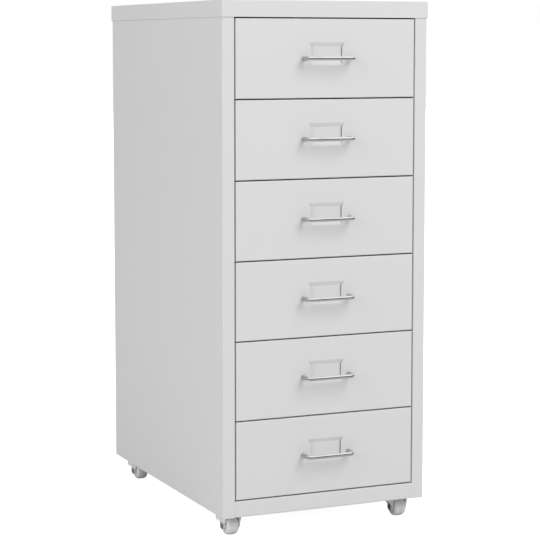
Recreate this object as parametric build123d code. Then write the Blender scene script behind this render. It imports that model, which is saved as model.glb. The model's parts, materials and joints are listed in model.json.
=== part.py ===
from build123d import *

import os

# Small steel drawer cabinet: a folded sheet casing with six drawers, standing on four swivel casters.
# Millimetres. +X is to the right, +Y to the back and +Z up, and the drawers open towards -Y.
# The origin lies on the floor, under the middle of the overall box.

# ---------------------------------------------------------------- casing
body_width = 284.0          # over the outer faces of the two side panels
body_depth = 410.0          # from the front posts to the outer face of the back
body_height = 648.0         # from the lower edge of the casing to the top of the cover
casing_sheet = 0.8          # thickness of the casing's steel
casing_bend = 1.5           # radius on the outside of a fold
lap_clearance = 0.2         # between the cover's rim and what it laps over
seat_clearance = 0.3        # between an edge and the fold that it drops into
post_width = 16.3           # front edge of a side panel, folded to face forwards
post_lip = 14.0             # the post's second fold, turned back into the cabinet
rear_flange = 12.0
top_flange = 12.0
hem_height = 8.0            # lower edge of a side panel, folded double
cover_rim = 21.0            # height of the cover's rim all round
cover_return = 10.0         # fold under the cover's front rim
rail_height = 20.6          # front rail under the lowest drawer
rail_return = 12.0
rail_channel = 10.0         # depth of the channel behind the rail
pan_lift = 5.0              # underside of the floor pan above the casing's lower edge
pan_flange = 12.0

# ---------------------------------------------------------------- drawers
drawer_count = 6
drawer_sheet = 0.7
drawer_bend = 1.3
front_gap = 1.6             # gap all round each drawer front
front_return = 12.0         # depth of the folded edges of a drawer front
tray_length = 389.0         # from the drawer front's face to the back of the tray
tray_height = 76.0          # from the tray's underside to the underside of its hanging flange
tray_lift = 6.0             # underside of the tray above the lower edge of its front
tray_flange = 9.0           # hanging flange that rides on the runner
flange_clearance = 1.2      # between the flange and the post's lip
flange_setback = 2.0        # behind the folded edge of the drawer front
rear_hem = 8.0
ear_reach = 5.5             # stop ear, sideways beyond the flange
ear_length = 12.0
drawer_travel = 320.0
stop_clearance = 0.5        # left at full travel between the ear and the stop lug

# Card holder: a strip of the front pressed inwards between two slits.
holder_width = 43.0
holder_flare = 4.5          # widening on each side along the upper slope
holder_slope = 5.0          # height of the upper and of the lower slope
holder_depth = 2.0
holder_above = 20.0         # upper edge above the handle's centre line
holder_below = 8.5          # lower edge below it
holder_window_margin = 3.0  # room round the holder in the tray's front wall

# ---------------------------------------------------------------- runners
runner_sheet = 1.0
runner_bend = 1.5
runner_lip = 6.0            # stiffening fold under the ledge
runner_gap = 3.6            # between the ledge and the guard above it
runner_guard = 3.5          # reach of the guard over the hanging flange
runner_wall_gap = 1.5       # between the ledge's lip and the tray wall
runner_end_gap = 1.0        # from the post's lip, and from the rear flange

# ---------------------------------------------------------------- handles
handle_wire = 5.5
handle_centres = 64.0
handle_reach = 20.5         # from the drawer front to the outside of the bar
handle_bend = 7.0           # radius of the wire's centre line
handle_thread_depth = 9.0

# ---------------------------------------------------------------- fasteners
screw_fit = 0.05            # between a screw or rivet and its hole
handle_screw = 3.0          # diameters
handle_screw_head = 6.0
handle_screw_grip = 8.0     # length of thread in the handle
casing_screw = 2.9
casing_screw_head = 6.5
casing_screw_length = 8.0
caster_screw = 4.0
caster_screw_head = 6.0
caster_screw_length = 7.0
head_share = 0.33           # height of a screw head as a share of its diameter
pan_screw_spacing = 120.0

# ---------------------------------------------------------------- casters
caster_height = 34.0        # floor to the caster's mounting face
caster_inset_x = 22.0       # swivel axis from the side panel's outer face
caster_inset_y = 37.0       # swivel axis from the front and from the back
caster_trail = 5.5          # wheel axle forward of the swivel axis
wheel_diameter = 25.0
wheel_width = 17.0
wheel_shoulder = 3.0
wheel_rim_inner = 9.0       # radii of the dished side of the wheel
wheel_hub = 4.8
wheel_dish = 1.5
wheel_side_gap = 0.5
wheel_top_gap = 1.5         # between the wheel and the crown of the fork
axle_diameter = 4.0
axle_head = 9.5
axle_head_height = 1.3
axle_head_dome = 1.0        # rounding of the head's edge
running_fit = 0.05          # radial, on the axle and on the kingpin
crown_diameter = 32.5
crown_skirt = 11.0          # height of the fork's round crown
crown_edge = 2.0
leg_thickness = 1.8
leg_end = 5.5               # radius of the leg's rounded end
kingpin_diameter = 5.0
kingpin_head = 7.0
kingpin_head_height = 1.3
thrust_gap = 0.3            # between the crown and the race on the plate
plate_size = 38.0
plate_thickness = 2.0
plate_corner = 4.0
plate_holes = 28.5          # spacing of the four holes
race_diameter = 24.0
race_height = 1.1

# ---------------------------------------------------------------- levels and planes that follow
base = caster_height - pan_lift                     # lower edge of the casing
top = base + body_height
cover_lap = lap_clearance + casing_sheet            # the cover's rim stands this far outside the casing
screw_proud = casing_screw_head * head_share        # height of the heads on the cover's rear rim
overall_depth = handle_reach + body_depth + cover_lap + screw_proud
front = handle_reach - overall_depth / 2            # face of the posts and drawer fronts
back = front + body_depth
half_width = body_width / 2
half_opening = half_width - post_width
half_front = half_opening - front_gap
drawer_pitch = (body_height - cover_rim - rail_height - front_gap) / drawer_count
front_height = drawer_pitch - front_gap
handle_level = front_height / 2
flange_tip = half_opening - flange_clearance
tray_wall = flange_tip - tray_flange                # outer face of the tray's side walls
tray_top = tray_lift + tray_height                  # underside of the hanging flange, on its ledge
rear_flange_centre = half_width - rear_flange / 2
wheel_radius = wheel_diameter / 2
wheel_slot = wheel_width + 2 * wheel_side_gap
leg_outside = wheel_slot / 2 + leg_thickness
crown_top = caster_height - plate_thickness - race_height - thrust_gap
slot_top = wheel_diameter + wheel_top_gap


def drawer_level(number):
    """Lower edge of a drawer front. Drawer 1 is the top one."""
    return base + rail_height + front_gap + (drawer_count - number) * drawer_pitch


def block(x, y, z):
    """A rectangular block between two limits on each axis."""
    size = (x[1] - x[0], y[1] - y[0], z[1] - z[0])
    return Pos(x[0], y[0], z[0]) * Box(*size, align=(Align.MIN, Align.MIN, Align.MIN))


def folded(points, sheet, bend):
    """Section of a folded sheet: the points follow one face, and the sheet lies to their left."""
    face_line = FilletPolyline(*points, radius=bend)
    return make_face(offset(face_line, amount=sheet, side=Side.LEFT, closed=True))


def along_x(section, half_length):
    """Draws a section in the YZ plane out to both sides of the middle."""
    return extrude(Plane.YZ * section, half_length, both=True)


def along_y(section, start, end):
    """Draws a section in the XZ plane out from start to end."""
    return extrude(Plane.XZ.offset(-end) * section, end - start)


def along_z(section, start, end):
    """Draws a section in plan upwards from start to end."""
    return extrude(Plane.XY.offset(start) * section, end - start)


def rod_y(x, z, radius, y):
    """A round bar along Y, also used to cut holes."""
    return Pos(x, y[1], z) * extrude(Plane.XZ * Circle(radius), y[1] - y[0])


def rod_z(x, y, radius, z):
    """A round bar along Z, also used to cut holes."""
    return Pos(x, y, z[0]) * extrude(Circle(radius), z[1] - z[0])


def screw(diameter, head, length):
    """Pan-head screw along +Z. The seat under its head is at z = 0, and the thread points up."""
    height = head * head_share
    outline = Polyline(
        (0, length),
        (diameter / 2, length),
        (diameter / 2, 0),
        (head / 2, 0),
        (head / 2, -height / 2),
        (head / 4, -height),
        (0, -height),
        close=True,
    )
    return revolve(Plane.XZ * make_face(outline), Axis.Z)


def mirrored(shape):
    """The same piece for the other side of the cabinet."""
    return mirror(shape, about=Plane.YZ)


# ================================================================ casing
def back_screw_levels():
    """Level with the middles of the end and middle drawers, clear of the runners."""
    drawers = {1, (drawer_count + 1) // 2, drawer_count // 2 + 1, drawer_count}
    return [drawer_level(number) + handle_level for number in sorted(drawers)]


def cover_screw_level():
    return top - cover_rim / 2


def pan_screw_level():
    return base + pan_lift + pan_flange / 2


def rear_screw_places():
    """Screws in the rear: down both flanges, in the cover's rim and in the floor pan."""
    flange = [(side * rear_flange_centre, level) for side in (-1, 1) for level in back_screw_levels()]
    rim = [(side * rear_flange_centre, cover_screw_level()) for side in (-1, 1)]
    pan = [(side * pan_screw_spacing / 2, pan_screw_level()) for side in (-1, 1)]
    return flange, rim, pan


def rear_holes(places, y):
    radius = casing_screw / 2 + screw_fit
    return [rod_y(x, z, radius, y) for x, z in places]


def make_side_panel():
    """Left side: outer wall with the front post, its lip and foot, two flanges and a hemmed lower edge."""
    flange_face = back - casing_sheet
    plan = folded(
        [
            (-half_width + rear_flange, flange_face),
            (-half_width, flange_face),
            (-half_width, front),
            (-half_opening, front),
            (-half_opening, front + post_lip),
        ],
        casing_sheet,
        casing_bend,
    )
    panel = along_z(plan, base, top - casing_sheet)
    inner = -half_width + casing_sheet
    run = (front + post_lip + seat_clearance, flange_face - casing_sheet - seat_clearance)
    panel += block((inner, inner + top_flange), run, (top - 2 * casing_sheet, top - casing_sheet))
    panel += block((inner, inner + casing_sheet), run, (base, base + hem_height))
    # A tab level with the floor pan closes the lower end of the post.
    floor = base + pan_lift
    tab = ((inner, -half_opening - casing_sheet), (front + casing_sheet, front + post_lip))
    panel += block(*tab, (floor, floor + casing_sheet))
    flange, rim, _ = rear_screw_places()
    through = (flange_face - 2 * casing_sheet, back)
    return panel - rear_holes([place for place in flange + rim if place[0] < 0], through)


def make_back_panel():
    """Flat sheet screwed on the rear flanges, under the cover's rim."""
    edge = half_width - seat_clearance
    panel = block((-edge, edge), (back - casing_sheet, back), (base, top - casing_sheet))
    flange, rim, pan = rear_screw_places()
    return panel - rear_holes(flange + rim + pan, (back - 2 * casing_sheet, back + casing_sheet))


def make_top_cover():
    """Lid with a rim all round, which laps over the casing, and a fold under its front rim."""
    x = half_width + cover_lap
    lid = block((-x, x), (front - cover_lap, back + cover_lap), (top - cover_rim, top))
    lid = fillet(lid.edges().group_by(Axis.Z)[-1], cover_lap)
    lid = offset(lid, amount=-casing_sheet, openings=lid.faces().sort_by(Axis.Z)[0])
    edge = half_opening - seat_clearance
    under = (top - cover_rim, top - cover_rim + casing_sheet)
    lid += block((-edge, edge), (front - cover_lap, front + cover_return), under)
    _, rim, _ = rear_screw_places()
    return lid - rear_holes(rim, (back - casing_sheet, back + 2 * cover_lap))


def make_bottom_pan():
    """One sheet folded into the front rail, the channel behind it, the floor and the rear flange."""
    floor = base + pan_lift
    rail_top = base + rail_height
    rear = back - casing_sheet
    profile = folded(
        [
            (front + rail_return, rail_top),
            (front, rail_top),
            (front, base),
            (front + rail_channel, base),
            (front + rail_channel, floor),
            (rear, floor),
            (rear, floor + pan_flange),
        ],
        casing_sheet,
        casing_bend,
    )
    pan = along_x(profile, half_opening - seat_clearance)
    # Behind the posts the floor widens to the side panels, with a flange up each side.
    side = half_width - 2 * casing_sheet
    y = (front + post_lip + runner_end_gap, rear - casing_sheet - seat_clearance)
    pan += block((-side, side), y, (floor, floor + casing_sheet))
    pan += block((-side, -side + casing_sheet), y, (floor, floor + pan_flange))
    pan += block((side - casing_sheet, side), y, (floor, floor + pan_flange))
    _, _, screws = rear_screw_places()
    pan -= rear_holes(screws, (rear - 2 * casing_sheet, back))
    hole = caster_screw / 2 + screw_fit
    for x, y in caster_places().values():
        for dx, dy in plate_hole_offsets():
            pan -= rod_z(x + dx, y + dy, hole, (floor - casing_sheet, floor + 2 * casing_sheet))
    return pan


def make_casing_screws():
    """All the screws of the casing's rear, pointing forwards into it."""
    one = Rot(X=90) * screw(casing_screw, casing_screw_head, casing_screw_length)
    flange, rim, pan = rear_screw_places()
    on_back = [Pos(x, back, z) * one for x, z in flange + pan]
    on_rim = [Pos(x, back + cover_lap, z) * one for x, z in rim]
    return on_back + on_rim


# ================================================================ runners
def make_runner():
    """Left runner of one drawer, with its ledge at z = 0: a ledge, a web, a guard and a stop lug."""
    web = half_width - casing_sheet - runner_sheet
    section = folded(
        [
            (-tray_wall - runner_wall_gap, -runner_lip),
            (-tray_wall - runner_wall_gap, 0),
            (-web, 0),
            (-web, runner_gap),
            (-flange_tip + runner_guard, runner_gap),
        ],
        runner_sheet,
        runner_bend,
    )
    start = front + post_lip + runner_end_gap
    end = back - 2 * casing_sheet - runner_end_gap
    runner = along_y(section, start, end)
    lug_back = front + tray_length - ear_length - drawer_travel - stop_clearance
    lug_tip = flange_tip + ear_reach / 2
    return runner + block((-web, -lug_tip), (lug_back - runner_sheet, lug_back), (0, runner_gap))


# ================================================================ drawers, with z = 0 at the front's lower edge
def card_holder():
    """The pressed strip and the opening in the front that it leaves, from the face inwards."""
    high = handle_level + holder_above
    low = handle_level - holder_below
    narrow = holder_width / 2
    wide = narrow + holder_flare
    neck = high - holder_slope
    overlap = holder_slope
    opening = make_face(
        Polyline((-narrow, low), (narrow, low), (narrow, neck), (wide, high), (-wide, high), (-narrow, neck), close=True)
    )
    strip_outline = make_face(
        Polyline(
            (-narrow, low - overlap),
            (narrow, low - overlap),
            (narrow, neck),
            (wide, high),
            (wide, high + overlap),
            (-wide, high + overlap),
            (-wide, high),
            (-narrow, neck),
            close=True,
        )
    )
    section = folded(
        [
            (front, high + overlap),
            (front, high),
            (front + holder_depth, neck),
            (front + holder_depth, low + holder_slope),
            (front, low),
            (front, low - overlap),
        ],
        drawer_sheet,
        drawer_bend,
    )
    depth = (front - drawer_sheet, front + holder_depth + 2 * drawer_sheet)
    strip = along_x(section, wide) & along_y(strip_outline, *depth)
    return strip, along_y(opening, *depth)


def handle_holes(y):
    radius = handle_screw / 2 + screw_fit
    return [rod_y(side * handle_centres / 2, handle_level, radius, y) for side in (-1, 1)]


def make_drawer_front():
    """Folded front with its edges turned back and the card holder pressed into it."""
    panel = block((-half_front, half_front), (front, front + front_return), (0, front_height))
    panel = fillet(panel.faces().sort_by(Axis.Y)[0].edges(), drawer_bend)
    panel = offset(panel, amount=-drawer_sheet, openings=panel.faces().sort_by(Axis.Y)[-1])
    strip, opening = card_holder()
    panel = panel - opening + strip
    return panel - handle_holes((front - drawer_sheet, front + 2 * drawer_sheet))


def make_drawer_tray():
    """Tray: a trough with hanging flanges, a rear wall and a front wall that the front is fixed to."""
    face = front + drawer_sheet
    inside = face + drawer_sheet
    rear = front + tray_length
    trough = folded(
        [
            (-flange_tip, tray_top),
            (-tray_wall, tray_top),
            (-tray_wall, tray_lift),
            (tray_wall, tray_lift),
            (tray_wall, tray_top),
            (flange_tip, tray_top),
        ],
        drawer_sheet,
        drawer_bend,
    )
    tray = along_y(trough, face, rear)
    # The flanges start behind the folded edges of the drawer front.
    flange_start = front + front_return + flange_setback
    for side in (-1, 1):
        notch = sorted((side * tray_wall, side * (flange_tip + drawer_sheet)))
        tray -= block(notch, (face, flange_start), (tray_top - drawer_bend, tray_top + 2 * drawer_sheet))
        ear = sorted((side * tray_wall, side * (flange_tip + ear_reach)))
        tray += block(ear, (rear - ear_length, rear), (tray_top, tray_top + drawer_sheet))
    rear_wall = folded(
        [(rear, tray_lift), (rear, tray_top + drawer_sheet), (rear - rear_hem, tray_top + drawer_sheet)],
        drawer_sheet,
        drawer_bend,
    )
    tray += along_x(rear_wall, tray_wall - drawer_sheet)
    margin = drawer_bend + seat_clearance
    edge = half_front - margin
    wall = block((-edge, edge), (face, inside), (margin, front_height - margin))
    across = holder_width / 2 + holder_flare + holder_window_margin
    window_low = handle_level - holder_below - holder_window_margin
    window_high = handle_level + holder_above + holder_window_margin
    wall -= block((-across, across), (face, inside), (window_low, window_high))
    tray += wall
    return tray - handle_holes((face, inside))


def make_handle():
    """Wire pull: two legs and a bar in one bent wire, with a threaded hole in each leg."""
    leg = handle_centres / 2
    bar = front - handle_reach + handle_wire / 2
    path = FilletPolyline((-leg, front), (-leg, bar), (leg, bar), (leg, front), radius=handle_bend)
    start = Plane(origin=path @ 0, z_dir=path % 0)
    wire = Pos(0, 0, handle_level) * sweep(start * Circle(handle_wire / 2), path=path)
    return wire - handle_holes((front - handle_thread_depth, front))


def make_handle_screws():
    """The two screws behind each handle, put in from inside the drawer."""
    seat = front + 2 * drawer_sheet
    length = 2 * drawer_sheet + handle_screw_grip
    one = Rot(X=90) * screw(handle_screw, handle_screw_head, length)
    return [Pos(side * handle_centres / 2, seat, handle_level) * one for side in (-1, 1)]


# ================================================================ casters, with the swivel axis at x = y = 0
def caster_places():
    """Swivel axis of each caster."""
    x = half_width - caster_inset_x
    return {
        "front_left": (-x, front + caster_inset_y),
        "front_right": (x, front + caster_inset_y),
        "back_left": (-x, back - caster_inset_y),
        "back_right": (x, back - caster_inset_y),
    }


def plate_hole_offsets():
    step = plate_holes / 2
    return [(dx, dy) for dx in (-step, step) for dy in (-step, step)]


def make_caster_plate():
    """Mounting plate with the raised race that the fork turns under."""
    low = caster_height - plate_thickness
    plate = along_z(RectangleRounded(plate_size, plate_size, plate_corner), low, caster_height)
    plate += rod_z(0, 0, race_diameter / 2, (low - race_height, low))
    for dx, dy in plate_hole_offsets():
        plate -= rod_z(dx, dy, caster_screw / 2 + screw_fit, (low, caster_height))
    return plate - rod_z(0, 0, kingpin_diameter / 2 + screw_fit, (low - race_height, caster_height))


def make_caster_fork():
    """Moulded fork: a round crown that draws in, in hollow curves, to two legs with rounded ends."""
    crown = crown_diameter / 2
    skirt = crown_top - crown_skirt
    # Seen from the front, the outside curves in from the crown to the face of each leg.
    flank_end = wheel_radius
    foot = wheel_radius - leg_end
    right_flank = TangentArc((leg_outside, flank_end), (crown, skirt), tangent=(0, 1))
    left_flank = TangentArc((-leg_outside, flank_end), (-crown, skirt), tangent=(0, 1))
    front_view = make_face(
        [
            Line((-leg_outside, foot), (leg_outside, foot)),
            Line((leg_outside, foot), (leg_outside, flank_end)),
            right_flank,
            Line((crown, skirt), (crown, crown_top)),
            Line((crown, crown_top), (-crown, crown_top)),
            Line((-crown, crown_top), (-crown, skirt)),
            left_flank,
            Line((-leg_outside, flank_end), (-leg_outside, foot)),
        ]
    )
    # Seen from the side, both edges curve in to the round end about the axle.
    ahead = -caster_trail - leg_end
    behind = -caster_trail + leg_end
    side_view = make_face(
        [
            ThreePointArc((ahead, wheel_radius), (-caster_trail, foot), (behind, wheel_radius)),
            TangentArc((behind, wheel_radius), (crown, skirt), tangent=(0, 1)),
            Line((crown, skirt), (crown, crown_top)),
            Line((crown, crown_top), (-crown, crown_top)),
            Line((-crown, crown_top), (-crown, skirt)),
            TangentArc((ahead, wheel_radius), (-crown, skirt), tangent=(0, 1)),
        ]
    )
    round_crown = rod_z(0, 0, crown, (foot, crown_top))
    round_crown = fillet(round_crown.edges().group_by(Axis.Z)[-1], crown_edge)
    fork = round_crown & along_y(front_view, -crown, crown) & along_x(side_view, crown)
    fork -= block((-wheel_slot / 2, wheel_slot / 2), (-crown, crown), (foot, slot_top))
    fork -= axle_bar(axle_diameter / 2 + screw_fit, 2 * crown)
    # A flat seat for each head of the axle is sunk into the curve of the leg.
    fork -= axle_bar(axle_head / 2 + thrust_gap, 2 * crown) - axle_bar(axle_head, 2 * leg_outside)
    fork -= rod_z(0, 0, kingpin_diameter / 2 + running_fit, (slot_top, crown_top))
    head_room = (slot_top, slot_top + kingpin_head_height + thrust_gap)
    return fork - rod_z(0, 0, kingpin_head / 2 + thrust_gap, head_room)


def axle_bar(radius, length):
    """A round bar on the wheel's axis."""
    return Pos(0, -caster_trail, wheel_radius) * extrude(Plane.YZ * Circle(radius), length / 2, both=True)


def about_axle(outline):
    """Turns half an outline, drawn as (along the axle, radius), into a round piece on the wheel's axis."""
    piece = revolve(make_face(outline), Axis.X)
    return Pos(0, -caster_trail, wheel_radius) * piece


def make_caster_wheel():
    """Moulded wheel with rounded shoulders and a dish round the hub on each side."""
    half = wheel_width / 2
    bore = axle_diameter / 2 + running_fit
    inset = half - wheel_dish
    outline = [
        Line((-half, bore), (-half, wheel_hub)),
        Line((-half, wheel_hub), (-inset, wheel_hub)),
        Line((-inset, wheel_hub), (-inset, wheel_rim_inner)),
        Line((-inset, wheel_rim_inner), (-half, wheel_rim_inner)),
        Line((-half, wheel_rim_inner), (-half, wheel_radius - wheel_shoulder)),
        JernArc((-half, wheel_radius - wheel_shoulder), (0, 1), wheel_shoulder, -90),
        Line((-half + wheel_shoulder, wheel_radius), (half - wheel_shoulder, wheel_radius)),
        JernArc((half - wheel_shoulder, wheel_radius), (1, 0), wheel_shoulder, -90),
        Line((half, wheel_radius - wheel_shoulder), (half, wheel_rim_inner)),
        Line((half, wheel_rim_inner), (inset, wheel_rim_inner)),
        Line((inset, wheel_rim_inner), (inset, wheel_hub)),
        Line((inset, wheel_hub), (half, wheel_hub)),
        Line((half, wheel_hub), (half, bore)),
        Line((half, bore), (-half, bore)),
    ]
    return about_axle(outline)


def make_caster_axle():
    """Rivet through both legs, with a low domed head on each side."""
    heads = axle_bar(axle_head / 2, 2 * (leg_outside + axle_head_height))
    heads = fillet(heads.edges(), axle_head_dome)
    heads -= axle_bar(axle_head, 2 * leg_outside)
    return heads + axle_bar(axle_diameter / 2, 2 * leg_outside)


def make_kingpin():
    """Rivet that the fork turns on, with its head let into the fork's crown."""
    head = rod_z(0, 0, kingpin_head / 2, (slot_top, slot_top + kingpin_head_height))
    return head + rod_z(0, 0, kingpin_diameter / 2, (slot_top, caster_height))


def make_caster_screws():
    """The four screws of one plate, put in from below."""
    one = Pos(0, 0, caster_height - plate_thickness) * screw(caster_screw, caster_screw_head, caster_screw_length)
    return [Pos(dx, dy, 0) * one for dx, dy in plate_hole_offsets()]


# ================================================================ assembly
def save(name, shape):
    shape.label = name
    export_step(shape, f"parts/{name}.step")


def save_group(name, shapes):
    """Several loose solids under one name."""
    save(name, Compound(children=[solid for shape in shapes for solid in shape.solids()]))


def main():
    os.makedirs("parts", exist_ok=True)

    side_panel = make_side_panel()
    save("left_side_panel", side_panel)
    save("right_side_panel", mirrored(side_panel))
    save("back_panel", make_back_panel())
    save("top_cover", make_top_cover())
    save("bottom_pan", make_bottom_pan())
    save_group("casing_screws", make_casing_screws())

    runner = make_runner()
    drawer_pieces = {
        "drawer_front": make_drawer_front(),
        "drawer_tray": make_drawer_tray(),
        "drawer_handle": make_handle(),
    }
    handle_screws = make_handle_screws()
    for number in range(1, drawer_count + 1):
        place = Pos(0, 0, drawer_level(number))
        ledge = Pos(0, 0, drawer_level(number) + tray_top)
        save(f"runner_left_{number}", ledge * runner)
        save(f"runner_right_{number}", ledge * mirrored(runner))
        for name, piece in drawer_pieces.items():
            save(f"{name}_{number}", place * piece)
        save_group(f"handle_screws_{number}", [place * one for one in handle_screws])

    caster_pieces = {
        "caster_plate": make_caster_plate(),
        "caster_fork": make_caster_fork(),
        "caster_wheel": make_caster_wheel(),
        "caster_axle": make_caster_axle(),
    }
    kingpin = make_kingpin()
    plate_screws = make_caster_screws()
    places = caster_places()
    for corner, (x, y) in places.items():
        for name, piece in caster_pieces.items():
            save(f"{name}_{corner}", Pos(x, y, 0) * piece)
    save_group("caster_kingpins", [Pos(x, y, 0) * kingpin for x, y in places.values()])
    save_group("caster_screws", [Pos(x, y, 0) * one for x, y in places.values() for one in plate_screws])


main()
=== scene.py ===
"""Finishes, detailed screws and a plain studio for a small steel drawer cabinet on casters."""

import json
import math

import bmesh
import bpy
from bpy.props import FloatProperty, FloatVectorProperty, IntProperty, PointerProperty
from mathutils import Matrix, Vector

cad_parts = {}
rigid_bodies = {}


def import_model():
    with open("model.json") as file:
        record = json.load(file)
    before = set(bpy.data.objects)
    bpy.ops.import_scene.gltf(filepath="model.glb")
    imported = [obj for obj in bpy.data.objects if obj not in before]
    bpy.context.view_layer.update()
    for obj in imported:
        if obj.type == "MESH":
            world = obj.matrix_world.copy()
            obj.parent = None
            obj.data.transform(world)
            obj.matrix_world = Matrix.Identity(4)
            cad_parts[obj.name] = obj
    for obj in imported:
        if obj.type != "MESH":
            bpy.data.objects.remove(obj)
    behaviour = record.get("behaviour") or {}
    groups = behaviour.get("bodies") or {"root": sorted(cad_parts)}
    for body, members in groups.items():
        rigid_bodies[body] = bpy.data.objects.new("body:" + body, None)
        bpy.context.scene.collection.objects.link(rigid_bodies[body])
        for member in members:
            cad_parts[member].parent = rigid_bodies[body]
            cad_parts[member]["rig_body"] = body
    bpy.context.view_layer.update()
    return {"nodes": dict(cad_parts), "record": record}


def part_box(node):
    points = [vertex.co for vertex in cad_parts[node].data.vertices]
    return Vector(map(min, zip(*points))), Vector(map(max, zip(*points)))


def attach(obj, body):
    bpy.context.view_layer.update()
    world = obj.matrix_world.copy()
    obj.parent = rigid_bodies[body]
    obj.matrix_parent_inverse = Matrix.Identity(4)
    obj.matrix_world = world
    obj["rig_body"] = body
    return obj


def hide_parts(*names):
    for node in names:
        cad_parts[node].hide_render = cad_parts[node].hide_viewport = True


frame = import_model()

bl_info = {
    "name": "Steel drawer cabinet",
    "version": (1, 0, 0),
    "blender": (4, 5, 0),
    "location": "3D View > Sidebar > Cabinet",
    "description": "Paints, plates and screws together a small drawer cabinet, and lights it",
    "category": "Object",
}

PICTURE_SIDE = 540          # pixels, both ways
HORIZON_PIXEL = 226.8       # row of the picture that the camera's axis meets


# ================================================================ settings
def length(name, description, default):
    """A length in metres."""
    return FloatProperty(
        name=name, description=description, default=default, min=0.0, precision=5, subtype="DISTANCE", unit="LENGTH"
    )


def share(name, description, default):
    """A plain number from 0 to 1."""
    return FloatProperty(name=name, description=description, default=default, min=0.0, max=1.0, subtype="FACTOR")


def colour(name, description, default):
    """A linear colour."""
    return FloatVectorProperty(
        name=name, description=description, default=default, size=3, min=0.0, max=1.0, subtype="COLOR"
    )


class CabinetPaint(bpy.types.PropertyGroup):
    """Light grey powder coat."""

    colour: colour("Colour", "Colour of the powder coat", (0.700, 0.700, 0.698))
    dust_colour: colour("Dust", "Colour of the dust that settles on it", (0.56, 0.54, 0.51))
    roughness: share("Roughness", "Roughness of the clean coat", 0.44)
    mottle: share("Mottle", "Change of shade over a hand's width", 0.012)
    # Painted highlight: the coat's colour is made lighter in a thin line along every edge.
    edge_highlight: share("Edge lift", "How much lighter the coat is where it draws thin along an edge", 0.10)
    edge_width: length("Edge width", "Width of the lighter line along an edge", 0.0009)
    peel_size: length("Peel size", "Spacing of the fine waves in the coat", 0.0021)
    peel_height: length("Peel height", "Height of the fine waves in the coat", 0.000010)
    dust: share("Dust amount", "Most dust on a face that points up", 0.07)
    rub: share("Rub amount", "How far sliding has polished the runners", 0.55)


class CabinetChrome(bpy.types.PropertyGroup):
    """Bright plate on the handles."""

    colour: colour("Colour", "Colour of the plate", (0.90, 0.90, 0.905))
    roughness: share("Roughness", "Roughness of the clean plate", 0.045)
    smudge: share("Smudge", "Added roughness where fingers have touched", 0.10)
    scratch_height: length("Scratch height", "Depth of the finest scratches", 0.0000012)
    # Painted shade: the legs get a darker chrome colour in place of the darker reflections on the legs and bends. It
    # starts at the grip depth behind the front.
    leg_painted_shade: colour("Legs", "Colour of the duller plate on the legs", (0.48, 0.48, 0.485))
    grip_depth: length("Grip depth", "How far behind its front the grip stays bright", 0.0045)


class CabinetZinc(bpy.types.PropertyGroup):
    """Zinc plate on the screws, rivets and caster plates."""

    colour: colour("Colour", "Colour of the plate", (0.60, 0.61, 0.625))
    tint: colour("Tint", "Colour of the passivated patches", (0.56, 0.55, 0.50))
    roughness: share("Roughness", "Roughness of the plate", 0.30)
    streak_size: length("Streak size", "Spacing of the rolling marks", 0.0007)
    streak_height: length("Streak height", "Depth of the rolling marks", 0.000006)


class CabinetCasters(bpy.types.PropertyGroup):
    """Moulded grey plastic of the casters."""

    fork_colour: colour("Fork", "Colour of the forks", (0.76, 0.77, 0.76))
    wheel_colour: colour("Wheel", "Colour of the wheels", (0.80, 0.80, 0.78))
    scuff_colour: colour("Scuff", "Colour that the floor rubs into the tread", (0.50, 0.49, 0.46))
    fork_roughness: share("Fork roughness", "Roughness of the forks", 0.42)
    wheel_roughness: share("Wheel roughness", "Roughness of the wheels", 0.52)
    grain_size: length("Grain size", "Spacing of the grain of the moulds", 0.0006)
    grain_height: length("Grain height", "Depth of the grain of the moulds", 0.000012)
    tread_scuff: share("Tread scuff", "Most wear on the tread", 0.24)
    wheel_bore: length("Wheel bore", "Diameter of the hole for the axle", 0.0041)
    wheel_steps: IntProperty(name="Wheel steps", description="Points round each wheel", default=64, min=12, max=256)


class CabinetScrews(bpy.types.PropertyGroup):
    """Cross-recessed pan-head screws."""

    steps: IntProperty(name="Steps", description="Points round each screw", default=20, min=8, max=96)
    thread_pitch: length("Thread pitch", "Rise of the thread in one turn", 0.0010)
    thread_depth: share("Thread depth", "Depth of the thread as a share of its radius", 0.20)
    recess_reach: share("Recess reach", "Reach of the cross as a share of the head's radius", 0.58)
    recess_wing: share("Recess wing", "Width of a wing as a share of the head's radius", 0.17)
    recess_depth: share("Recess depth", "Depth of the cross as a share of the head's height", 0.72)


class CabinetStudio(bpy.types.PropertyGroup):
    """Camera, lamps, floor and surround."""

    camera_place: FloatVectorProperty(
        name="Camera", description="Where the camera stands", default=(-1.0073, -2.2944, 0.6196), size=3,
        precision=4, subtype="TRANSLATION", unit="LENGTH",
    )
    camera_yaw: FloatProperty(
        name="Yaw", description="Turn of the camera from +Y towards +X", default=math.radians(23.888),
        precision=3, subtype="ANGLE", unit="ROTATION",
    )
    camera_pitch: FloatProperty(
        name="Pitch", description="Tilt of the camera above the level", default=math.radians(-5.580),
        precision=3, subtype="ANGLE", unit="ROTATION",
    )
    camera_lens: FloatProperty(name="Lens", description="Focal length in millimetres", default=122.99, min=1.0)
    surround: FloatProperty(name="Surround", description="Light from all round", default=0.62, min=0.0)
    key_power: FloatProperty(name="Key", description="Watts of the large lamp above the front", default=42.5, min=0.0)
    fill_power: FloatProperty(name="Fill", description="Watts of the soft lamp on the left", default=40.0, min=0.0)
    floor_colour: colour("Floor", "Colour of the floor as the object sees it", (0.70, 0.70, 0.70))
    floor_glow: share("Floor glow", "White added to the floor where the camera sees it", 0.90)
    floor_in_chrome: share("Floor in chrome", "How bright the floor stays in reflections", 0.55)


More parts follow.
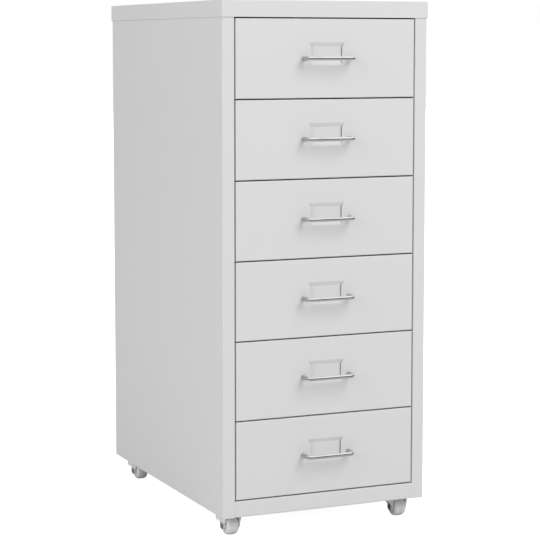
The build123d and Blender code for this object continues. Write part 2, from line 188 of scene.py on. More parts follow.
# ================================================================ shader trees
def add(tree, kind, inputs=None, **settings):
    """Adds a node, with its settings and with its inputs set or linked."""
    made = tree.nodes.new(kind)
    for name, value in settings.items():
        setattr(made, name, value)
    for name, value in (inputs or {}).items():
        if isinstance(value, bpy.types.NodeSocket):
            tree.links.new(value, made.inputs[name])
        else:
            made.inputs[name].default_value = value
    return made


def math_node(tree, operation, first, second=0.0, clamp=False):
    """The result of one sum on two values."""
    return add(tree, "ShaderNodeMath", {0: first, 1: second}, operation=operation, use_clamp=clamp).outputs[0]


def times(tree, first, second, clamp=False):
    """Two values multiplied."""
    return math_node(tree, "MULTIPLY", first, second, clamp)


def plus(tree, first, second, clamp=False):
    """Two values added."""
    return math_node(tree, "ADD", first, second, clamp)


def remap(tree, value, low, high, to_low=0.0, to_high=1.0):
    """The value carried from one range to another, and held inside it."""
    inputs = {"Value": value, "From Min": low, "From Max": high, "To Min": to_low, "To Max": to_high}
    return add(tree, "ShaderNodeMapRange", inputs).outputs["Result"]


def mix_colour(tree, factor, first, second):
    """One colour laid over another."""
    mixer = tree.nodes.new("ShaderNodeMix")
    mixer.data_type = "RGBA"
    for socket, value in zip((mixer.inputs[0], mixer.inputs[6], mixer.inputs[7]), (factor, first, second)):
        if isinstance(value, bpy.types.NodeSocket):
            tree.links.new(value, socket)
        else:
            socket.default_value = value
    return mixer.outputs[2]


def noise(tree, place, scale, detail=2.0, roughness=0.5):
    """Noise from 0 to 1, with its scale in waves per metre."""
    inputs = {"Vector": place, "Scale": scale, "Detail": detail, "Roughness": roughness}
    return add(tree, "ShaderNodeTexNoise", inputs).outputs["Fac"]


def object_place(tree):
    """Where a point of the surface lies on its object, in metres."""
    return tree.nodes.new("ShaderNodeTexCoord").outputs["Object"]


def surface_normal(tree):
    """The way that the surface faces, before any bump."""
    return tree.nodes.new("ShaderNodeNewGeometry").outputs["Normal"]


def stretched(tree, place, factors):
    """The place with each axis scaled by itself, to draw a pattern out along the smallest factor."""
    return add(tree, "ShaderNodeVectorMath", {0: place, 1: factors}, operation="MULTIPLY").outputs[0]


def part_of(tree, vector, axis):
    """One axis of a vector, by its letter."""
    return add(tree, "ShaderNodeSeparateXYZ", {0: vector}).outputs[axis]


def scaled(tree, tone, factor):
    """The colour made lighter or darker by a factor."""
    return add(tree, "ShaderNodeVectorMath", {0: tone, "Scale": factor}, operation="SCALE").outputs[0]


def toned(tone, factor):
    """A plain colour made lighter or darker by a factor, and held under white."""
    return tuple(min(1.0, channel * factor) for channel in tone)


def rgba(value):
    """The colour with full opacity."""
    return (*value, 1.0)


def group(name, inputs, outputs):
    """A new shader group, its input node and its output node. Inputs are (name, default) pairs."""
    tree = bpy.data.node_groups.new(name, "ShaderNodeTree")
    for title, default in inputs:
        kind = "NodeSocketColor" if isinstance(default, tuple) else "NodeSocketFloat"
        tree.interface.new_socket(title, in_out="INPUT", socket_type=kind).default_value = default
    for title, kind in outputs:
        tree.interface.new_socket(title, in_out="OUTPUT", socket_type=kind)
    return tree, tree.nodes.new("NodeGroupInput").outputs, tree.nodes.new("NodeGroupOutput").inputs


def placed_group(tree, name, inputs):
    """A copy of a shader group in a material, made on its first use."""
    shared = bpy.data.node_groups.get(name) or GROUP_MAKERS[name]()
    return add(tree, "ShaderNodeGroup", inputs, node_tree=shared).outputs


# Waves per metre of each pattern.
SHADE_WAVES, SHEEN_WAVES = 7.0, 60.0
EDGE_BREAK_WAVES = 140.0
DUST_WAVES, SPECK_WAVES = 24.0, 900.0
RUB_WAVES = 900.0
TOUCH_WAVES, RIDGE_WAVES, HAIR_WAVES = 90.0, 1400.0, 5200.0
TINT_WAVES, SPANGLE_WAVES = 210.0, 420.0
FLOW_WAVES, SPOT_WAVES = 95.0, 330.0
TREAD_WAVES = 420.0
FLOOR_WAVES = 3.0
GRIT_FINENESS = 4.0         # times as fine as the coat's own waves

# A pattern is drawn out along an axis whose factor is under 1.
ALONG_Y = (1.0, 0.02, 1.0)
ACROSS_RIDGES = (1.0, 1.0, 6.0)
ALONG_GRIP = (0.06, 1.0, 1.0)
ALONG_ROLLING = (0.12, 1.0, 1.0)
ALONG_FLOW = (1.0, 1.0, 0.35)
WITHOUT_X = (0.0, 1.0, 1.0)


def make_powder_coat():
    """Fine waves, grit and a slow change of shade, as a sprayed and baked powder has."""
    tree, given, result = group(
        "Powder coat",
        [("Colour", (0.7, 0.7, 0.7, 1.0)), ("Roughness", 0.45), ("Mottle", 0.01), ("Waves", 500.0), ("Height", 1e-5)],
        [("Colour", "NodeSocketColor"), ("Roughness", "NodeSocketFloat"), ("Height", "NodeSocketFloat")],
    )
    place = object_place(tree)
    slow = noise(tree, place, SHADE_WAVES, 3.0, 0.55)
    sheen = noise(tree, place, SHEEN_WAVES)
    peel = noise(tree, place, given["Waves"], 1.0, 0.4)
    grit = noise(tree, place, times(tree, given["Waves"], GRIT_FINENESS), 1.0)
    swing = times(tree, math_node(tree, "SUBTRACT", slow, 0.5), given["Mottle"])
    fleck = times(tree, math_node(tree, "SUBTRACT", grit, 0.5), times(tree, given["Mottle"], 0.9))
    shade = plus(tree, plus(tree, swing, fleck), 1.0)
    tree.links.new(scaled(tree, given["Colour"], shade), result["Colour"])
    uneven = remap(tree, sheen, 0.3, 0.7, -0.035, 0.035)
    tree.links.new(plus(tree, given["Roughness"], uneven, clamp=True), result["Roughness"])
    wave = plus(tree, peel, times(tree, grit, 0.22))
    tree.links.new(times(tree, wave, given["Height"]), result["Height"])
    return tree


def make_edge_line():
    """Mask along outer and inner edges, broken up so that no edge is drawn with a ruler."""
    tree, given, result = group(
        "Edge line", [("Width", 0.001), ("Strength", 4.0)], [("Mask", "NodeSocketFloat")]
    )
    place = object_place(tree)
    rounded = add(tree, "ShaderNodeBevel", {"Radius": given["Width"]}, samples=4).outputs["Normal"]
    both = {0: rounded, 1: surface_normal(tree)}
    along = add(tree, "ShaderNodeVectorMath", both, operation="DOT_PRODUCT").outputs["Value"]
    turned = math_node(tree, "SUBTRACT", 1.0, along)
    broken = remap(tree, noise(tree, place, EDGE_BREAK_WAVES, 3.0, 0.6), 0.35, 0.65, 0.35, 1.0)
    strong = times(tree, turned, given["Strength"], clamp=True)
    tree.links.new(times(tree, strong, broken), result["Mask"])
    return tree


def make_dust():
    """Mask of dust: only on faces that point up, thicker in soft patches, with a few specks."""
    tree, given, result = group("Dust", [("Amount", 0.1)], [("Mask", "NodeSocketFloat")])
    place = object_place(tree)
    facing = remap(tree, part_of(tree, surface_normal(tree), "Z"), 0.55, 0.98)
    patch = remap(tree, noise(tree, place, DUST_WAVES, 4.0, 0.6), 0.32, 0.72, 0.35, 1.0)
    specks = remap(tree, noise(tree, place, SPECK_WAVES, 0.0), 0.70, 0.78, 0.0, 0.8)
    cover = plus(tree, patch, specks)
    settled = times(tree, times(tree, cover, facing), given["Amount"], clamp=True)
    tree.links.new(settled, result["Mask"])
    return tree


def make_slide_rub():
    """Mask of long rubbed streaks along Y, on faces that point up or down."""
    tree, given, result = group("Slide rub", [("Amount", 0.5)], [("Mask", "NodeSocketFloat")])
    place = object_place(tree)
    level = math_node(tree, "ABSOLUTE", part_of(tree, surface_normal(tree), "Z"))
    facing = remap(tree, level, 0.9, 0.99)
    streak = noise(tree, stretched(tree, place, ALONG_Y), RUB_WAVES, 3.0, 0.6)
    worn = times(tree, remap(tree, streak, 0.38, 0.66), facing)
    tree.links.new(times(tree, worn, given["Amount"], clamp=True), result["Mask"])
    return tree


def make_touch():
    """Mask of finger marks and wiping: soft patches with a fine ridge pattern inside them."""
    tree, given, result = group(
        "Touch", [("Amount", 0.2)], [("Mask", "NodeSocketFloat"), ("Scratches", "NodeSocketFloat")]
    )
    place = object_place(tree)
    patch = remap(tree, noise(tree, place, TOUCH_WAVES), 0.46, 0.62)
    ridge = noise(tree, stretched(tree, place, ACROSS_RIDGES), RIDGE_WAVES, 1.0)
    marks = times(tree, patch, remap(tree, ridge, 0.4, 0.6, 0.6, 1.0))
    tree.links.new(times(tree, marks, given["Amount"], clamp=True), result["Mask"])
    hair = noise(tree, stretched(tree, place, ALONG_GRIP), HAIR_WAVES, 2.0, 0.7)
    tree.links.new(remap(tree, hair, 0.60, 0.72), result["Scratches"])
    return tree


def make_rolled_plate():
    """Plated sheet and wire: fine marks along one way, and patches of a warmer tint."""
    tree, given, result = group(
        "Rolled plate",
        [("Colour", (0.6, 0.6, 0.6, 1.0)), ("Tint", (0.55, 0.55, 0.5, 1.0)), ("Roughness", 0.3), ("Marks", 1400.0),
         ("Height", 5e-6)],
        [("Colour", "NodeSocketColor"), ("Roughness", "NodeSocketFloat"), ("Height", "NodeSocketFloat")],
    )
    place = object_place(tree)
    marks = noise(tree, stretched(tree, place, ALONG_ROLLING), given["Marks"], 3.0, 0.65)
    patch = remap(tree, noise(tree, place, TINT_WAVES, 3.0, 0.6), 0.42, 0.66)
    spangle = add(tree, "ShaderNodeTexVoronoi", {"Vector": place, "Scale": SPANGLE_WAVES}).outputs["Distance"]
    tinted = mix_colour(tree, times(tree, patch, 0.7), given["Colour"], given["Tint"])
    tree.links.new(scaled(tree, tinted, remap(tree, spangle, 0.0, 0.7, 0.90, 1.04)), result["Colour"])
    dull = plus(tree, remap(tree, marks, 0.3, 0.7, -0.08, 0.08), times(tree, patch, 0.12))
    tree.links.new(plus(tree, given["Roughness"], dull, clamp=True), result["Roughness"])
    tree.links.new(times(tree, marks, given["Height"]), result["Height"])
    return tree


def make_moulded_grain():
    """Moulded plastic: spark-eroded grain, slow flow of shade, and small rubbed spots."""
    tree, given, result = group(
        "Moulded grain",
        [("Colour", (0.6, 0.6, 0.6, 1.0)), ("Roughness", 0.45), ("Grain", 1600.0), ("Height", 1e-5)],
        [("Colour", "NodeSocketColor"), ("Roughness", "NodeSocketFloat"), ("Height", "NodeSocketFloat")],
    )
    place = object_place(tree)
    grain = noise(tree, place, given["Grain"], 2.0, 0.6)
    flow = noise(tree, stretched(tree, place, ALONG_FLOW), FLOW_WAVES, 3.0, 0.55)
    spots = remap(tree, noise(tree, place, SPOT_WAVES), 0.56, 0.68)
    shade = plus(tree, remap(tree, flow, 0.3, 0.7, 0.965, 1.03), times(tree, spots, -0.025))
    tree.links.new(scaled(tree, given["Colour"], shade), result["Colour"])
    uneven = plus(tree, remap(tree, grain, 0.3, 0.7, -0.05, 0.05), times(tree, spots, -0.10))
    tree.links.new(plus(tree, given["Roughness"], uneven, clamp=True), result["Roughness"])
    tree.links.new(times(tree, grain, given["Height"]), result["Height"])
    return tree


GROUP_MAKERS = {
    "Powder coat": make_powder_coat,
    "Edge line": make_edge_line,
    "Dust": make_dust,
    "Slide rub": make_slide_rub,
    "Touch": make_touch,
    "Rolled plate": make_rolled_plate,
    "Moulded grain": make_moulded_grain,
}


# ================================================================ materials
EDGE_HIGHLIGHT_TONE = 1.22        # of the coat's colour, as a painted highlight along an edge
RUBBED_TONE = 0.62          # of the coat's colour, on a rubbed run
RUBBED_COVER = 0.6          # how much of that colour shows where it is rubbed most
RUBBED_POLISH = 0.18        # roughness that it loses there
DUST_DULLING = 0.6          # added roughness under full dust
FRONT_DUST, TRAY_DUST = 0.4, 0.8        # shares of the dust that lies on the casing
FORK_DUST = 0.25            # most dust on a fork
FILM_TONE = 0.93            # of the chrome's colour, under a finger mark
LEG_SHADE_FADE = 0.002            # metres over which the painted shade fades in from the bright grip to the legs
ZINC_EDGE = {"Width": 0.0004, "Strength": 3.0}
ZINC_EDGE_TONE, ZINC_EDGE_COVER = (0.80, 0.80, 0.80), 0.5
AXLE_POLISH = -0.04         # added to the zinc's roughness
TREAD_INSIDE, TREAD_OUTSIDE = 0.965, 0.998      # shares of the radius between which the scuffs grow


def new_material(name):
    """An empty material with one Principled shader on its output."""
    material = bpy.data.materials.new(name)
    material.use_nodes = True
    tree = material.node_tree
    tree.nodes.clear()
    shader = tree.nodes.new("ShaderNodeBsdfPrincipled")
    add(tree, "ShaderNodeOutputMaterial", {"Surface": shader.outputs["BSDF"]})
    return material, tree, shader.inputs


def bumped(tree, height):
    """Normals from a height in metres."""
    return add(tree, "ShaderNodeBump", {"Height": height, "Strength": 1.0, "Distance": 1.0}).outputs["Normal"]


def powder_paint(name, dust_share=1.0, rubbed=False):
    """Powder coat for one group of pieces, with its edges, its dust and its rubbed runs."""
    paint = bpy.context.scene.cabinet_paint
    material, tree, shader = new_material(name)
    coat = placed_group(
        tree,
        "Powder coat",
        {"Colour": rgba(paint.colour), "Roughness": paint.roughness, "Mottle": paint.mottle,
         "Waves": 1.0 / paint.peel_size, "Height": paint.peel_height},
    )
    edge = placed_group(tree, "Edge line", {"Width": paint.edge_width})["Mask"]
    dust = placed_group(tree, "Dust", {"Amount": paint.dust * dust_share})["Mask"]
    # Painted highlight: a lighter copy of the coat's colour is laid along the edges.
    highlight_tone = rgba(toned(paint.colour, EDGE_HIGHLIGHT_TONE))
    tone = mix_colour(tree, times(tree, edge, paint.edge_highlight), coat["Colour"], highlight_tone)
    tone = mix_colour(tree, dust, tone, rgba(paint.dust_colour))
    rough = plus(tree, coat["Roughness"], times(tree, dust, DUST_DULLING), clamp=True)
    if rubbed:
        rub = placed_group(tree, "Slide rub", {"Amount": paint.rub})["Mask"]
        dull = rgba(toned(paint.colour, RUBBED_TONE))
        tone = mix_colour(tree, times(tree, rub, RUBBED_COVER), tone, dull)
        rough = math_node(tree, "SUBTRACT", rough, times(tree, rub, RUBBED_POLISH), clamp=True)
    tree.links.new(tone, shader["Base Color"])
    tree.links.new(rough, shader["Roughness"])
    tree.links.new(bumped(tree, coat["Height"]), shader["Normal"])
    return material


def chrome_plate():
    """Chrome with finger marks and hair scratches, bright on the grip, with painted shade that darkens the legs and
    bends.
    """
    chrome = bpy.context.scene.cabinet_chrome
    material, tree, shader = new_material("handle chrome")
    touch = placed_group(tree, "Touch", {"Amount": 1.0})
    shader["Metallic"].default_value = 1.0
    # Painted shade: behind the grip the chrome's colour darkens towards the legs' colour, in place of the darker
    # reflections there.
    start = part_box("drawer_handle_1")[0].y + chrome.grip_depth
    legs = remap(tree, part_of(tree, object_place(tree), "Y"), start, start + LEG_SHADE_FADE)
    plate = mix_colour(tree, touch["Mask"], rgba(chrome.colour), rgba(toned(chrome.colour, FILM_TONE)))
    tree.links.new(mix_colour(tree, legs, plate, rgba(chrome.leg_painted_shade)), shader["Base Color"])
    rough = times(tree, touch["Mask"], chrome.smudge)
    tree.links.new(plus(tree, rough, chrome.roughness, clamp=True), shader["Roughness"])
    scratches = times(tree, touch["Scratches"], -chrome.scratch_height)
    tree.links.new(bumped(tree, scratches), shader["Normal"])
    return material


def zinc_plated(name, roughness_change=0.0):
    """Zinc plate with rolling marks, warm patches and lighter edges."""
    zinc = bpy.context.scene.cabinet_zinc
    material, tree, shader = new_material(name)
    plate = placed_group(
        tree,
        "Rolled plate",
        {"Colour": rgba(zinc.colour), "Tint": rgba(zinc.tint), "Roughness": zinc.roughness + roughness_change,
         "Marks": 1.0 / zinc.streak_size, "Height": zinc.streak_height},
    )
    edge = placed_group(tree, "Edge line", ZINC_EDGE)["Mask"]
    shader["Metallic"].default_value = 1.0
    tone = mix_colour(tree, times(tree, edge, ZINC_EDGE_COVER), plate["Colour"], rgba(ZINC_EDGE_TONE))
    tree.links.new(tone, shader["Base Color"])
    tree.links.new(plate["Roughness"], shader["Roughness"])
    tree.links.new(bumped(tree, plate["Height"]), shader["Normal"])
    return material


def moulded(name, tone, roughness, dust_amount):
    """Moulded grey plastic with a little dust: the material, its tree, its shader's sockets and its colour."""
    casters = bpy.context.scene.cabinet_casters
    paint = bpy.context.scene.cabinet_paint
    material, tree, shader = new_material(name)
    skin = placed_group(
        tree,
        "Moulded grain",
        {"Colour": rgba(tone), "Roughness": roughness, "Grain": 1.0 / casters.grain_size,
         "Height": casters.grain_height},
    )
    dust = placed_group(tree, "Dust", {"Amount": dust_amount})["Mask"]
    dusty = mix_colour(tree, dust, skin["Colour"], rgba(paint.dust_colour))
    tree.links.new(dusty, shader["Base Color"])
    tree.links.new(skin["Roughness"], shader["Roughness"])
    tree.links.new(bumped(tree, skin["Height"]), shader["Normal"])
    return material, tree, shader, dusty


def fork_plastic():
    """Light grey plastic of the forks."""
    casters = bpy.context.scene.cabinet_casters
    return moulded("caster fork", casters.fork_colour, casters.fork_roughness, FORK_DUST)[0]


def wheel_plastic(corner):
    """Grey plastic of one wheel, with the floor's dirt rubbed into its tread."""
    casters = bpy.context.scene.cabinet_casters
    low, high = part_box(f"caster_wheel_{corner}")
    middle, radius = (low + high) / 2, (high.z - low.z) / 2
    material, tree, shader, dusty = moulded(
        f"caster wheel {corner}", casters.wheel_colour, casters.wheel_roughness, 0.0
    )
    place = object_place(tree)
    out = add(tree, "ShaderNodeVectorMath", {0: place, 1: middle}, operation="SUBTRACT").outputs[0]
    across = stretched(tree, out, WITHOUT_X)
    reach = add(tree, "ShaderNodeVectorMath", {0: across}, operation="LENGTH").outputs["Value"]
    tread = remap(tree, reach, radius * TREAD_INSIDE, radius * TREAD_OUTSIDE)
    worn = remap(tree, noise(tree, place, TREAD_WAVES, 4.0, 0.65), 0.38, 0.64, 0.25, 1.0)
    scuff = times(tree, times(tree, tread, worn), casters.tread_scuff)
    tree.links.new(mix_colour(tree, scuff, dusty, rgba(casters.scuff_colour)), shader["Base Color"])
    return material


def coat(nodes, material):
    """Gives the finish to CAD pieces."""
    for name in nodes:
        mesh = frame["nodes"][name].data
        mesh.materials.clear()
        mesh.materials.append(material)


def slot_nodes(slot):
    """Names of the nodes that the record puts in one material slot."""
    return [row["node"] for row in frame["record"]["subparts"] if row["material_slot"] == slot]


# ================================================================ meshes
SMOOTH_ANGLE = math.radians(38)     # edges that are sharper stay sharp


def bridge(made, rows, closed=False):
    """Faces between each ring of points and the next, and from the last to the first if it is closed."""
    for first, second in zip(rows, rows[1:] + rows[:1] if closed else rows[1:]):
        for place in range(len(first)):
            after = (place + 1) % len(first)
            made.faces.new((first[place], first[after], second[after], second[place]))


def mesh_of(made, name, turned=True):
    """The mesh of what was made, with its faces turned outwards where they have to be."""
    if turned:
        bmesh.ops.recalc_face_normals(made, faces=made.faces)
    mesh = bpy.data.meshes.new(name)
    made.to_mesh(mesh)
    made.free()
    return mesh


def new_object(name, data):
    """An object in the scene's collection."""
    made = bpy.data.objects.new(name, data)
    bpy.context.scene.collection.objects.link(made)
    return made


def placed_piece(mesh, node):
    """Puts a detailed mesh in the place of a CAD node, on the same body."""
    piece = new_object(mesh.name, mesh)
    mesh.shade_smooth()
    bpy.context.view_layer.objects.active = piece
    piece.select_set(True)
    bpy.ops.object.shade_smooth_by_angle(angle=SMOOTH_ANGLE)
    piece.select_set(False)
    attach(piece, frame["nodes"][node]["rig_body"])
    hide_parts(node)


# ================================================================ screws in detail
SAME_LEVEL = 1e-5           # metres between points that are read as one level
HEAD_OVER_SHANK = 1.2       # what is wider than this many shanks belongs to the head
SCREW_TURN = 37.0           # degrees from one screw to the next
TIP_LENGTH, TIP_RADIUS = 0.6, 0.55      # shares of the shank's radius
RINGS_A_TURN = 4            # along the thread
UNDER_HEAD, CROWN_TOP, CROWN_INSET = 0.95, 0.24, 0.30       # shares of the head's radius
RIM_FOOT, RIM_HEAD = 0.10, 0.38         # shares of the head's height
CROWN_STEPS = 6


def loose_parts(node):
    """Points of each separate solid in a CAD node."""
    mesh = frame["nodes"][node].data
    keys = [tuple(round(value, 6) for value in vertex.co) for vertex in mesh.vertices]
    leader = {key: key for key in keys}

    def find(key):
        while leader[key] != key:
            leader[key] = leader[leader[key]]
            key = leader[key]
        return key

    for edge in mesh.edges:
        first, second = (find(keys[index]) for index in edge.vertices)
        leader[first] = second
    parts = {}
    for key in leader:
        parts.setdefault(find(key), []).append(Vector(key))
    return list(parts.values())


def read_screw(points, way):
    """Sizes of one plain CAD screw: seat, length and head, read along the way that its thread points."""
    low = Vector(min(point[axis] for point in points) for axis in range(3))
    high = Vector(max(point[axis] for point in points) for axis in range(3))
    middle = (low + high) / 2
    heights = [(point - middle).dot(way) for point in points]
    radii = [((point - middle) - way * height).length for point, height in zip(points, heights)]
    tip, top = max(heights), min(heights)
    shank = max(radius for radius, height in zip(radii, heights) if tip - height < SAME_LEVEL)
    seat = max(height for radius, height in zip(radii, heights) if radius > shank * HEAD_OVER_SHANK)
    return {
        "seat": middle + way * seat,
        "shank": shank,
        "length": tip - seat,
        "head": max(radii),
        "head_height": seat - top,
    }


def screw_outline(size, pitch, depth):
    """Rings of a pan-head screw from its tip to the top of its head: (height, radius, share of the thread)."""
    tip_length = size["shank"] * TIP_LENGTH
    rings = [(size["length"], size["shank"] * TIP_RADIUS, 0.0)]
    if pitch:
        rise = pitch / RINGS_A_TURN
        count = int((size["length"] - tip_length - pitch) / rise)
        rings += [(size["length"] - tip_length - step * rise, size["shank"], 1.0) for step in range(count + 1)]
        rings.append((pitch * 0.5, size["shank"] * (1 - depth), 0.0))
    else:
        rings.append((size["length"] - tip_length, size["shank"], 0.0))
    rings.append((0.0, size["shank"] * (1 - depth if pitch else 1), 0.0))
    rings.append((0.0, size["head"] * UNDER_HEAD, 0.0))
    rings.append((-size["head_height"] * RIM_FOOT, size["head"], 0.0))
    rings.append((-size["head_height"] * RIM_HEAD, size["head"], 0.0))
    for step in range(1, CROWN_STEPS):
        angle = math.radians(90 * step / CROWN_STEPS)
        rise = size["head_height"] * (RIM_HEAD + (1 - RIM_HEAD) * math.sin(angle))
        rings.append((-rise, size["head"] * (CROWN_INSET + (1 - CROWN_INSET) * math.cos(angle)), 0.0))
    rings.append((-size["head_height"], size["head"] * CROWN_TOP, 0.0))
    return rings


def screw_mesh(size, steps, pitch, depth):
    """One closed screw along +Z with its seat at z = 0, before its cross is cut."""
    made = bmesh.new()
    rows = []
    for height, radius, threaded in screw_outline(size, pitch, depth):
        row = []
        for step in range(steps):
            turn = step / steps
            phase = (height / pitch - turn) % 1.0 if threaded else 0.5
            crest = abs(2 * phase - 1)
            here = radius * (1 - depth * (1 - crest)) if threaded else radius
            angle = turn * math.tau
            row.append(made.verts.new((here * math.cos(angle), here * math.sin(angle), height)))
        rows.append(row)
    for upper, lower in zip(rows, rows[1:]):
        for step in range(steps):
            after = (step + 1) % steps
            made.faces.new((upper[step], lower[step], lower[after], upper[after]))
    made.faces.new(rows[0])
    made.faces.new(rows[-1][::-1])
    return mesh_of(made, "screw")


def cross_mesh(size, reach, wing, depth):
    """Tapered cross that cuts the recess of a screw's head."""
    far, near = size["head"] * reach, size["head"] * wing
    outline = [(far, -near), (far, near), (near, near), (near, far), (-near, far), (-near, near), (-far, near),
               (-far, -near), (-near, -near), (-near, -far), (near, -far), (near, -near)]
    # Each level's height, and how far the cross has narrowed there. It starts clear above the head.
    levels = [
        (-size["head_height"] * 1.2, 1.0),
        (-size["head_height"] * (1 - depth * 0.55), 0.86),
        (-size["head_height"] * (1 - depth), 0.34),
    ]
    made = bmesh.new()
    rows = [[made.verts.new((x * taper, y * taper, height)) for x, y in outline] for height, taper in levels]
    bridge(made, rows)
    made.faces.new(rows[0][::-1])
    made.faces.new(rows[-1])
    return mesh_of(made, "cross")


def cut(mesh, cutter):
    """The mesh with the cutter's shape taken out of it."""
    body, tool = new_object("body", mesh), new_object("tool", cutter)
    change = body.modifiers.new("cut", "BOOLEAN")
    change.operation, change.solver, change.object = "DIFFERENCE", "EXACT", tool
    settled = body.evaluated_get(bpy.context.evaluated_depsgraph_get())
    result = bpy.data.meshes.new_from_object(settled)
    bpy.data.objects.remove(body)
    bpy.data.objects.remove(tool)
    return result


def detailed_screws(node, way, material, threaded):
    """Screws with crosses, threads and domed heads, in the places of a CAD node's plain ones."""
    screws = bpy.context.scene.cabinet_screws
    sizes = [read_screw(points, way) for points in loose_parts(node)]
    pitch = screws.thread_pitch if threaded else 0.0
    plain = screw_mesh(sizes[0], screws.steps, pitch, screws.thread_depth)
    one = cut(plain, cross_mesh(sizes[0], screws.recess_reach, screws.recess_wing, screws.recess_depth))
    turn = Vector((0, 0, 1)).rotation_difference(way).to_matrix().to_4x4()
    made = bmesh.new()
    for count, size in enumerate(sizes):
        started = len(made.verts)
        made.from_mesh(one)
        made.verts.ensure_lookup_table()
        # Each screw stopped at its own angle when it was driven home.
        driven = Matrix.Rotation(math.radians(SCREW_TURN * count), 4, "Z")
        bmesh.ops.transform(made, matrix=Matrix.Translation(size["seat"]) @ turn @ driven, verts=made.verts[started:])
    mesh = mesh_of(made, f"{node}_detailed", turned=False)
    mesh.materials.append(material)
    placed_piece(mesh, node)


# ================================================================ beads in the seams of the frame
# In plan, from the fold to the rail: distance out from the opening's edge, and depth behind the face.
BEAD_PLAN = (
    (0.00075, 0.00022), (0.00045, 0.00027), (0.00015, 0.00028), (-0.00015, 0.00024), (-0.00034, 0.00017),
    (-0.00034, 0.00070), (0.00030, 0.00120), (0.00075, 0.00060),
)
BEAD_FOOT = (0.0006, 0.0010)        # metres above the rail's lower edge, to the end and to the full section
BEAD_HEAD = (0.0012, 0.0008)        # metres below the rail's upper edge, to the full section and to the end
BEAD_SINK = 0.00025                 # how far the ends go back


def seam_bead(side, material):
    """Painted bead that fills the groove between one post's fold and the end of the front rail."""
    panel = "left_side_panel" if side < 0 else "right_side_panel"
    low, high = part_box(panel)
    face, edge = low.y, min(abs(low.x), abs(high.x))
    rail_low, rail_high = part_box("bottom_pan")
    levels = [rail_low.z + rise for rise in BEAD_FOOT] + [rail_high.z - drop for drop in BEAD_HEAD]
    made = bmesh.new()
    rows = []
    for level, sink in zip(levels, (BEAD_SINK, 0.0, 0.0, BEAD_SINK)):
        rows.append([made.verts.new((side * (edge + out), face + depth + sink, level)) for out, depth in BEAD_PLAN])
    bridge(made, rows)
    made.faces.new(rows[0])
    made.faces.new(rows[-1])
    name = f"seam_bead_{'left' if side < 0 else 'right'}"
    mesh = mesh_of(made, name)
    mesh.materials.append(material)
    bead = new_object(name, mesh)
    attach(bead, frame["nodes"][panel]["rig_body"])


# ================================================================ wheels in detail
# Shares of the wheel's radius, and of its half width after each. The hub starts at the bore.
HUB_FACE = 0.97
HUB_AND_DISH = ((0.36, HUB_FACE), (0.39, 0.93), (0.40, 0.80), (0.66, 0.78), (0.69, 0.82), (0.71, 0.90))
SHOULDER_RADIUS, SHOULDER_GAIN = 0.74, 0.26
SHOULDER_WIDTH, SHOULDER_ROUND = 0.30, 0.64
SHOULDER_STEPS = 8
PARTING_LINE = ((0.994, 0.07), (1.0, 0.05))     # stands a little proud in the middle of the tread


def wheel_outline(radius, half, bore):
    """Closed section of a wheel: (radius, distance from its middle), with a hub, a dish and a round shoulder."""
    side = [(bore, half * HUB_FACE)] + [(radius * out, half * along) for out, along in HUB_AND_DISH]
    for step in range(SHOULDER_STEPS + 1):
        angle = math.radians(90 * step / SHOULDER_STEPS)
        out = SHOULDER_RADIUS + SHOULDER_GAIN * math.sin(angle)
        along = SHOULDER_WIDTH + SHOULDER_ROUND * math.cos(angle)
        side.append((radius * out, half * along))
    side += [(radius * out, half * along) for out, along in PARTING_LINE]
    return side + [(reach, -place) for reach, place in reversed(side)]


def detailed_wheel(corner, material):
    """A wheel with rounded shoulders in the place of the CAD one."""
    casters = bpy.context.scene.cabinet_casters
    node = f"caster_wheel_{corner}"
    low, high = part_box(node)
    middle, radius, half = (low + high) / 2, (high.z - low.z) / 2, (high.x - low.x) / 2
    outline = wheel_outline(radius, half, casters.wheel_bore / 2)
    made = bmesh.new()
    rows = []
    for step in range(casters.wheel_steps):
        angle = math.tau * step / casters.wheel_steps
        along, up = math.cos(angle), math.sin(angle)
        rows.append([made.verts.new(middle + Vector((x, r * along, r * up))) for r, x in outline])
    bridge(made, rows, closed=True)
    mesh = mesh_of(made, f"{node}_moulded")
    mesh.materials.append(material)
    placed_piece(mesh, node)


# ================================================================ operators
class CABINET_OT_casing(bpy.types.Operator):
    """Powder coat the side panels, the back, the cover and the floor pan, and fill the seams of the rail"""

    bl_idname = "cabinet.casing"
    bl_label = "Paint the casing"

    def execute(self, context):
        paint = powder_paint("casing paint")
        coat(slot_nodes("casing_paint"), paint)
        for side in (-1, 1):
            seam_bead(side, paint)
        return {"FINISHED"}


class CABINET_OT_drawers(bpy.types.Operator):
    """Powder coat the drawer fronts and the trays"""

    bl_idname = "cabinet.drawers"
    bl_label = "Paint the drawers"

    def execute(self, context):
        fronts = [name for name in slot_nodes("drawer_paint") if name.startswith("drawer_front")]
        trays = [name for name in slot_nodes("drawer_paint") if name.startswith("drawer_tray")]
        coat(fronts, powder_paint("drawer front paint", dust_share=FRONT_DUST))
        coat(trays, powder_paint("tray paint", dust_share=TRAY_DUST))
        return {"FINISHED"}


class CABINET_OT_runners(bpy.types.Operator):
    """Powder coat the runners and rub their ledges"""

    bl_idname = "cabinet.runners"
    bl_label = "Paint the runners"

    def execute(self, context):
        coat(slot_nodes("runner_paint"), powder_paint("runner paint", rubbed=True))
        return {"FINISHED"}


class CABINET_OT_handles(bpy.types.Operator):
    """Chrome plate the handles"""

    bl_idname = "cabinet.handles"
    bl_label = "Plate the handles"

    def execute(self, context):
        coat(slot_nodes("handle_chrome"), chrome_plate())
        return {"FINISHED"}


